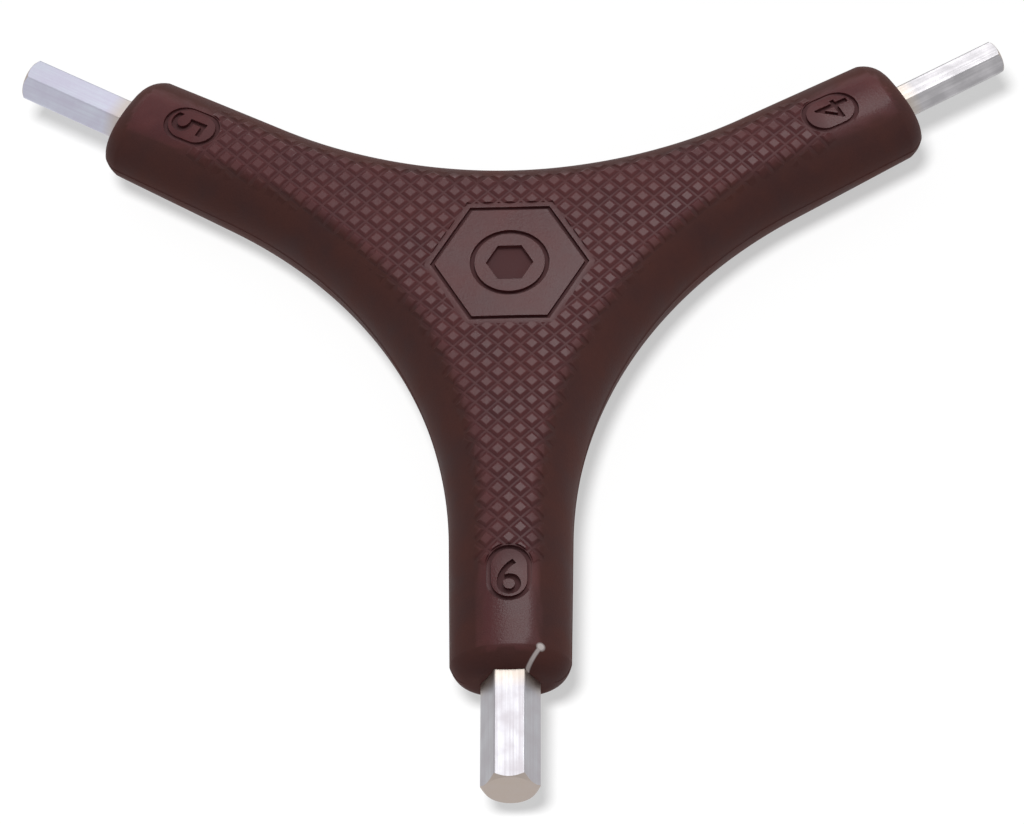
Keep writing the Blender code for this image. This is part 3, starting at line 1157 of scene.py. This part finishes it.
def make_cut_steel():
    material, tree, shader = new_material("cut_steel")
    place = node(tree, "ShaderNodeTexCoord").outputs["Object"]
    height, mottle = place_grain(tree, place, CUT_GRAIN_SCALE, CUT_MOTTLE_SCALE)
    tree.links.new(mix_colours(tree, mottle, CUT_DEEP, CUT_PALE), shader.inputs["Base Color"])
    tree.links.new(remap(tree, mottle, FULL_RANGE, CUT_ROUGHNESS), shader.inputs["Roughness"])
    shader.inputs["Metallic"].default_value = 1.0
    add_bump(tree, shader, height, *CUT_BUMP)
    return material


cut_steel = make_cut_steel()
for bar, (digit, _, _, direction) in zip(bars, ARMS):
    bar.data.materials.clear()
    bar.data.materials.append(drawn_steel[digit])
    bar.data.materials.append(cut_steel)
    outward = Vector((math.cos(direction), math.sin(direction), 0.0))
    for face in bar.data.polygons:
        face.material_index = 1 if face.normal.dot(outward) > END_FACING else 0
print("steel on", [bar.name for bar in bars])

# %% [markdown]
# ## Floor and surround
#
# A floor and a surround that show as white to the camera and in reflections, but light the tool at a lower level, so
# that the dark plastic keeps its depth. The Light Path node tells which kind of ray is asking.

# %% Floor and world
WHITE = (1.0, 1.0, 1.0, 1.0)
FLOOR_SIZE = 6.0
FLOOR_COLOUR = (0.35, 0.35, 0.35, 1.0)
FLOOR_ROUGHNESS = 0.9
FLOOR_GLOW = 0.51
WORLD_LIGHT = 0.30


def seen_rays(tree):
    """1 for the rays of the camera and of reflections, 0 for the rays that light things."""
    rays = node(tree, "ShaderNodeLightPath").outputs
    return calculate(tree, "MAXIMUM", rays["Is Camera Ray"], rays["Is Glossy Ray"])


def make_floor():
    bm = bmesh.new()
    bmesh.ops.create_grid(bm, x_segments=1, y_segments=1, size=FLOOR_SIZE / 2)
    floor = finish_piece(bm, "floor")
    material, tree, shader = new_material("white_floor")
    glow = calculate(tree, "MULTIPLY", seen_rays(tree), FLOOR_GLOW)
    shader.inputs["Base Color"].default_value = FLOOR_COLOUR
    shader.inputs["Roughness"].default_value = FLOOR_ROUGHNESS
    shader.inputs["Specular IOR Level"].default_value = 0.0
    shader.inputs["Emission Color"].default_value = WHITE
    tree.links.new(glow, shader.inputs["Emission Strength"])
    floor.data.materials.append(material)
    return floor


def make_world():
    world = bpy.data.worlds.new("white_surround")
    world.use_nodes = True
    tree = world.node_tree
    tree.nodes.clear()
    strength = remap(tree, seen_rays(tree), FULL_RANGE, (WORLD_LIGHT, 1.0))
    back = node(tree, "ShaderNodeBackground", {"Strength": strength})
    node(tree, "ShaderNodeOutputWorld", {"Surface": back.outputs["Background"]})
    bpy.context.scene.world = world
    return world


floor = make_floor()
print("made", floor.name, "and", make_world().name)

# %% [markdown]
# ## Lamps
#
# Two soft round lamps. One stands close behind, above and to the right, where the tops of the tool mirror it towards
# the camera: polished plastic shows it as a soft streak along the band, and the rougher steel spreads it over a whole
# flat. The other stands nearly over the camera and lights the floor alone, so the shadow that the tool throws is a
# narrow one that peeps out below and on the right. Light linking says which lamp lights what.

# %% Lamps
def soft_lamp(name, direction, distance, size, power):
    """A round area lamp that faces the hub from a direction."""
    data = bpy.data.lights.new(name, "AREA")
    data.shape = "DISK"
    data.size = size
    data.energy = power
    lamp = bpy.data.objects.new(name, data)
    lamp.location = HUB + Vector(direction).normalized() * distance
    lamp.rotation_euler = (HUB - lamp.location).to_track_quat("-Z", "Y").to_euler()
    bpy.context.scene.collection.objects.link(lamp)
    return lamp


def link_lamp(lamp, thing, state):
    """Lets a lamp light this thing alone (INCLUDE), or everything else (EXCLUDE)."""
    group = bpy.data.collections.new(lamp.name + "_link")
    group.objects.link(thing)
    group.collection_objects[0].light_linking.link_state = state
    lamp.light_linking.receiver_collection = group


back_lamp = soft_lamp("back_lamp", direction=(0.14, 0.42, 0.885), distance=0.40, size=0.27, power=0.53)
floor_lamp = soft_lamp("floor_lamp", direction=(-0.114, -0.277, 0.954), distance=1.5, size=0.43, power=29.3)
link_lamp(back_lamp, floor, "EXCLUDE")
link_lamp(floor_lamp, floor, "INCLUDE")
bpy.context.scene.view_settings.view_transform = "Standard"
print("lamps:", back_lamp.name, floor_lamp.name)

# %% [markdown]
# ## Hand over to the frame
#
# Each piece rides on the CAD body and takes the place of its CAD node.

# %% Ride, replace
for piece in (body, upper_grip, lower_grip):
    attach(piece, "root")
    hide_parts("handle")
for bar, arm in zip(bars, ARMS):
    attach(bar, "root")
    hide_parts("hex_key_" + arm[0] + "_mm")

bpy.context.view_layer.update()
